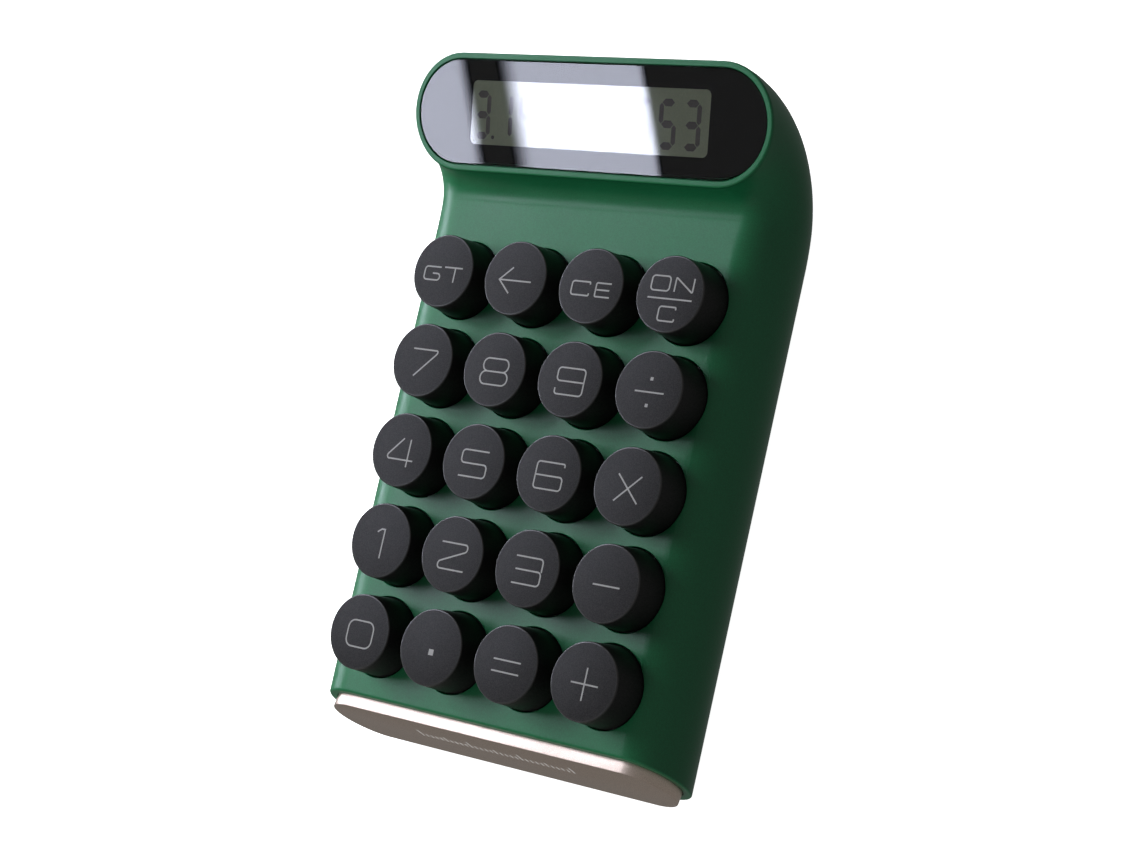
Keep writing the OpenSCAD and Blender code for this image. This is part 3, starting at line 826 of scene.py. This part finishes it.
# ---- Floor, light and camera ----
# A plain pale floor, one large soft light from the left with a weak fill from the front, and
# bright cards: two for the polished pane, one for the plate's edge and one for the left side.
FLOOR_HALF = 40.0
floor = bmesh.new()
bmesh.ops.create_grid(floor, x_segments=1, y_segments=1, size=FLOOR_HALF)
floor = as_object("floor", floor)
floor_paint = grained("pale_floor", (0.86, 0.86, 0.86), (0.88, 0.88, 0.88), 0.7, grain=MM, bump=0.0)
floor_shader = floor_paint.node_tree.nodes["Principled BSDF"]
floor_shader.inputs["Emission Color"].default_value = (1, 1, 1, 1)
floor_shader.inputs["Emission Strength"].default_value = 0.95
floor.data.materials.append(floor_paint)
floor.visible_diffuse = False
floor.visible_glossy = False
floor.visible_transmission = False

world = bpy.data.worlds.new("studio")
world.use_nodes = True
world.node_tree.nodes["Background"].inputs["Color"].default_value = (0.20, 0.20, 0.20, 1)
bpy.context.scene.world = world


def soft_light(name, place, target, size, power, glossy):
    """A square lamp that looks at a point."""
    lamp = bpy.data.lights.new(name, "AREA")
    lamp.shape = "SQUARE"
    lamp.size = size
    lamp.energy = power
    holder = bpy.data.objects.new(name, lamp)
    holder.location = place
    holder.rotation_euler = (Vector(target) - Vector(place)).to_track_quat("-Z", "Y").to_euler()
    holder.visible_glossy = glossy
    holder.visible_transmission = glossy
    bpy.context.scene.collection.objects.link(holder)
    return holder


soft_light("key_light", (-0.66, 0.14, 0.46), (0, 0, 0.02), 0.42, 9.4, False)
soft_light("fill_light", (-0.15, -0.5, 0.2), (0, 0, 0.02), 0.5, 1.5, False)

CARD_NORMAL = Vector((0.59993, 0.18871, -0.77748))
CARD_ACROSS = Vector((0.80006, -0.14151, 0.58300))
CARD_ALONG = Vector((0, 0.97178, 0.23588))
CARD_CENTRE = Vector((-0.26997, -0.02575, 0.38058))
CARD_SLANT = math.radians(12.6)
PLATE_REFLECTION = Vector((-0.597, 0.420, 0.682))
PLATE_CARD_DISTANCE = 1.4
facing = Matrix((CARD_ACROSS, CARD_ALONG, -CARD_NORMAL)).transposed().to_4x4()
pane_card = Matrix.Translation(CARD_CENTRE) @ facing @ Matrix.Rotation(CARD_SLANT, 4, "Z")
side_card = Matrix.Translation((-0.50, 0.0, 0.10)) @ Matrix.Rotation(-math.pi / 2, 4, "Y")
plate_facing = PLATE_REFLECTION.to_track_quat("Z", "Y").to_matrix().to_4x4()
plate_card = Matrix.Translation(front_mid + PLATE_REFLECTION * PLATE_CARD_DISTANCE) @ plate_facing


def card(name, place, left, right, low, high, strength, left_soft, right_soft):
    """A glowing plane seen only in glossy surfaces, with soft long edges."""
    bm = bmesh.new()
    bmesh.ops.create_grid(bm, x_segments=1, y_segments=1, size=0.5)
    bmesh.ops.scale(bm, vec=(right - left, high - low, 1), verts=bm.verts)
    bmesh.ops.translate(bm, vec=((left + right) / 2, (low + high) / 2, 0), verts=bm.verts)
    obj = as_object(name, bm, outward=False)
    obj.matrix_world = place
    material = bpy.data.materials.new(name)
    material.use_nodes = True
    nodes, links = material.node_tree.nodes, material.node_tree.links
    nodes.remove(nodes["Principled BSDF"])
    glow = nodes.new("ShaderNodeEmission")
    coords = nodes.new("ShaderNodeTexCoord")
    split = nodes.new("ShaderNodeSeparateXYZ")
    glow.inputs["Color"].default_value = (0.96, 1.0, 1.2, 1)
    both = nodes.new("ShaderNodeMath")
    both.operation = "MULTIPLY"
    links.new(coords.outputs["Object"], split.inputs[0])
    for socket, edge, inside in ((0, left, left + left_soft), (1, right, right - right_soft)):
        fade = nodes.new("ShaderNodeMapRange")
        fade.interpolation_type = "SMOOTHSTEP"
        fade.inputs["From Min"].default_value = edge
        fade.inputs["From Max"].default_value = inside
        fade.inputs["To Max"].default_value = math.sqrt(strength)
        links.new(split.outputs["X"], fade.inputs["Value"])
        links.new(fade.outputs[0], both.inputs[socket])
    links.new(both.outputs[0], glow.inputs["Strength"])
    links.new(glow.outputs[0], nodes["Material Output"].inputs["Surface"])
    obj.data.materials.append(material)
    obj.visible_camera = False
    obj.visible_diffuse = False
    obj.visible_shadow = False


card("main_card", pane_card, -0.030, 0.0265, -0.045, 0.060, 9.5, 0.009, 0.004)
card("left_card", pane_card, -0.090, -0.040, -0.050, 0.060, 9.5, 0.020, 0.006)
card("plate_card", plate_card, -0.30, 0.30, -0.17, 0.17, 8.0, 0.06, 0.06)
card("side_card", side_card, -0.030, 0.050, -0.10, 0.50, 15.0, 0.02, 0.02)

camera_data = bpy.data.cameras.new("camera")
camera_data.lens = 76.8
camera_data.sensor_width = 36
camera = bpy.data.objects.new("camera", camera_data)
camera.location = (0.295041, -0.051636, 0.408252)
CAMERA_TARGET = Vector((0.012258, -0.003049, 0.02875))
CAMERA_ROLL = math.radians(-69.515)
look = (CAMERA_TARGET - camera.location).to_track_quat("-Z", "Y").to_matrix().to_4x4()
camera.matrix_world = Matrix.Translation(camera.location) @ look @ Matrix.Rotation(CAMERA_ROLL, 4, "Z")
bpy.context.scene.collection.objects.link(camera)
bpy.context.scene.camera = camera
bpy.context.scene.view_settings.view_transform = "Standard"
